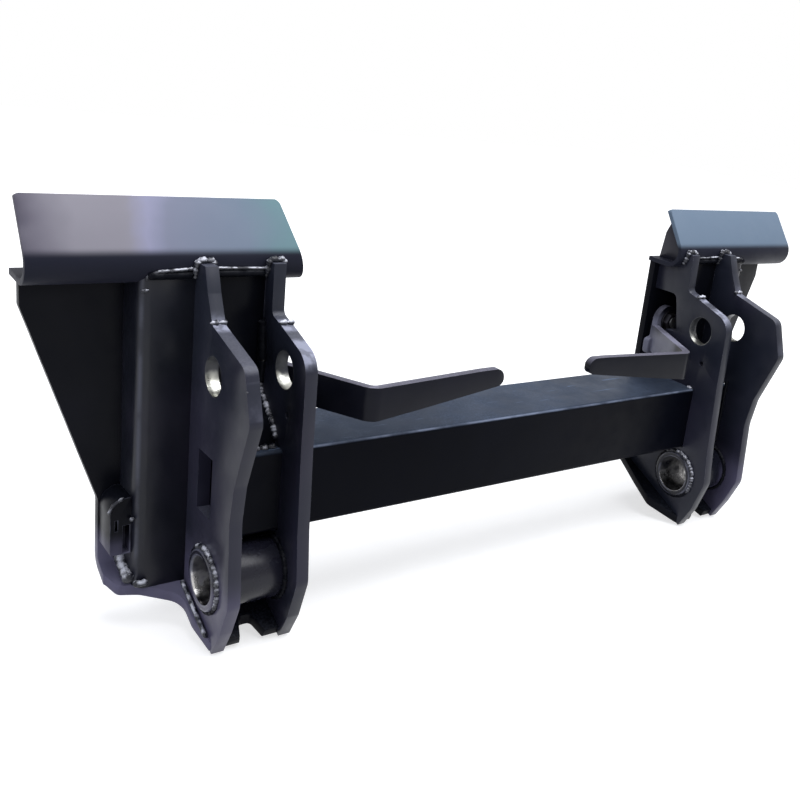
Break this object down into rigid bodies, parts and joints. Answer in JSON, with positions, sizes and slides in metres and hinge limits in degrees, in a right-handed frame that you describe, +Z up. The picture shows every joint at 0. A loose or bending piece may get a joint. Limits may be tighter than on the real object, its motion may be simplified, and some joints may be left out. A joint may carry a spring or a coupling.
{
  "type": "skid steer quick attach plate",
  "caption": "Welded loader coupler: cross tube, uprights with pin ears, saddles that hook an attachment, and hand levers that lift latch wedges through the lips.",
  "frame": {"origin": "on the lower pivot axis, midway between the two uprights", "axes": "+X along the cross tube to the right seen from the loader, +Y forwards to the attachment, +Z up"},
  "size_m": [1.11, 0.1924, 0.4508],
  "materials": {
    "black_paint": "semi-gloss black paint",
    "saddle_paint": "semi-gloss black paint with a cool sheen",
    "plated_steel": "dull zinc plated steel",
    "bare_steel": "machined steel"
  },
  "bodies": {
    "frame": {"cross_tube": "black_paint", "saddle_right": "saddle_paint", "saddle_rib_right": "black_paint", "face_plate_right": "black_paint", "outer_ear_right": "black_paint", "inner_ear_right": "black_paint", "pivot_tube_right": "bare_steel", "web_plate_right": "black_paint", "side_channel_right": "black_paint", "side_bracket_right": "black_paint", "wedge_guide_right": "black_paint", "lever_stud_right": "bare_steel", "lever_spacer_right": "bare_steel", "lever_washer_right": "plated_steel", "lever_nut_right": "plated_steel", "saddle_left": "saddle_paint", "saddle_rib_left": "black_paint", "face_plate_left": "black_paint", "outer_ear_left": "black_paint", "inner_ear_left": "black_paint", "pivot_tube_left": "bare_steel", "web_plate_left": "black_paint", "side_channel_left": "black_paint", "side_bracket_left": "black_paint", "wedge_guide_left": "black_paint", "lever_stud_left": "bare_steel", "lever_spacer_left": "bare_steel", "lever_washer_left": "plated_steel", "lever_nut_left": "plated_steel"},
    "lever_right": {"lever_right": "black_paint", "crank_pin_right": "bare_steel"},
    "link_right": {"link_right": "plated_steel"},
    "wedge_right": {"wedge_right": "bare_steel", "wedge_pin_right": "bare_steel"},
    "lever_left": {"lever_left": "black_paint", "crank_pin_left": "bare_steel"},
    "link_left": {"link_left": "plated_steel"},
    "wedge_left": {"wedge_left": "bare_steel", "wedge_pin_left": "bare_steel"}
  },
  "joints": [
    {"name": "lever_swing_right", "type": "hinge", "parent": "frame", "child": "lever_right", "pos_m": [0.33, 0.083, 0.212], "axis": [0, 1, 0], "range_deg": [0, 40]},
    {"name": "link_swing_right", "type": "hinge", "parent": "lever_right", "child": "link_right", "pos_m": [0.32808, 0.093, 0.19008], "axis": [0, -1, 0], "range_deg": [0, 57.5]},
    {"name": "wedge_slide_right", "type": "slide", "parent": "frame", "child": "wedge_right", "axis": [0, 0, 1], "range_m": [0, 0.0386]},
    {"name": "lever_swing_left", "type": "hinge", "parent": "frame", "child": "lever_left", "pos_m": [-0.33, 0.083, 0.212], "axis": [0, -1, 0], "range_deg": [0, 40]},
    {"name": "link_swing_left", "type": "hinge", "parent": "lever_left", "child": "link_left", "pos_m": [-0.32808, 0.093, 0.19008], "axis": [0, 1, 0], "range_deg": [0, 57.5]},
    {"name": "wedge_slide_left", "type": "slide", "parent": "frame", "child": "wedge_left", "axis": [0, 0, 1], "range_m": [0, 0.0386]}
  ],
  "couplings": [
    {"joint": "link_swing_right", "follows": "lever_swing_right", "ratio": 1.433},
    {"joint": "wedge_slide_right", "follows": "lever_swing_right", "m_per_rad": 0.05508},
    {"joint": "link_swing_left", "follows": "lever_swing_left", "ratio": 1.433},
    {"joint": "wedge_slide_left", "follows": "lever_swing_left", "m_per_rad": 0.05508}
  ]
}
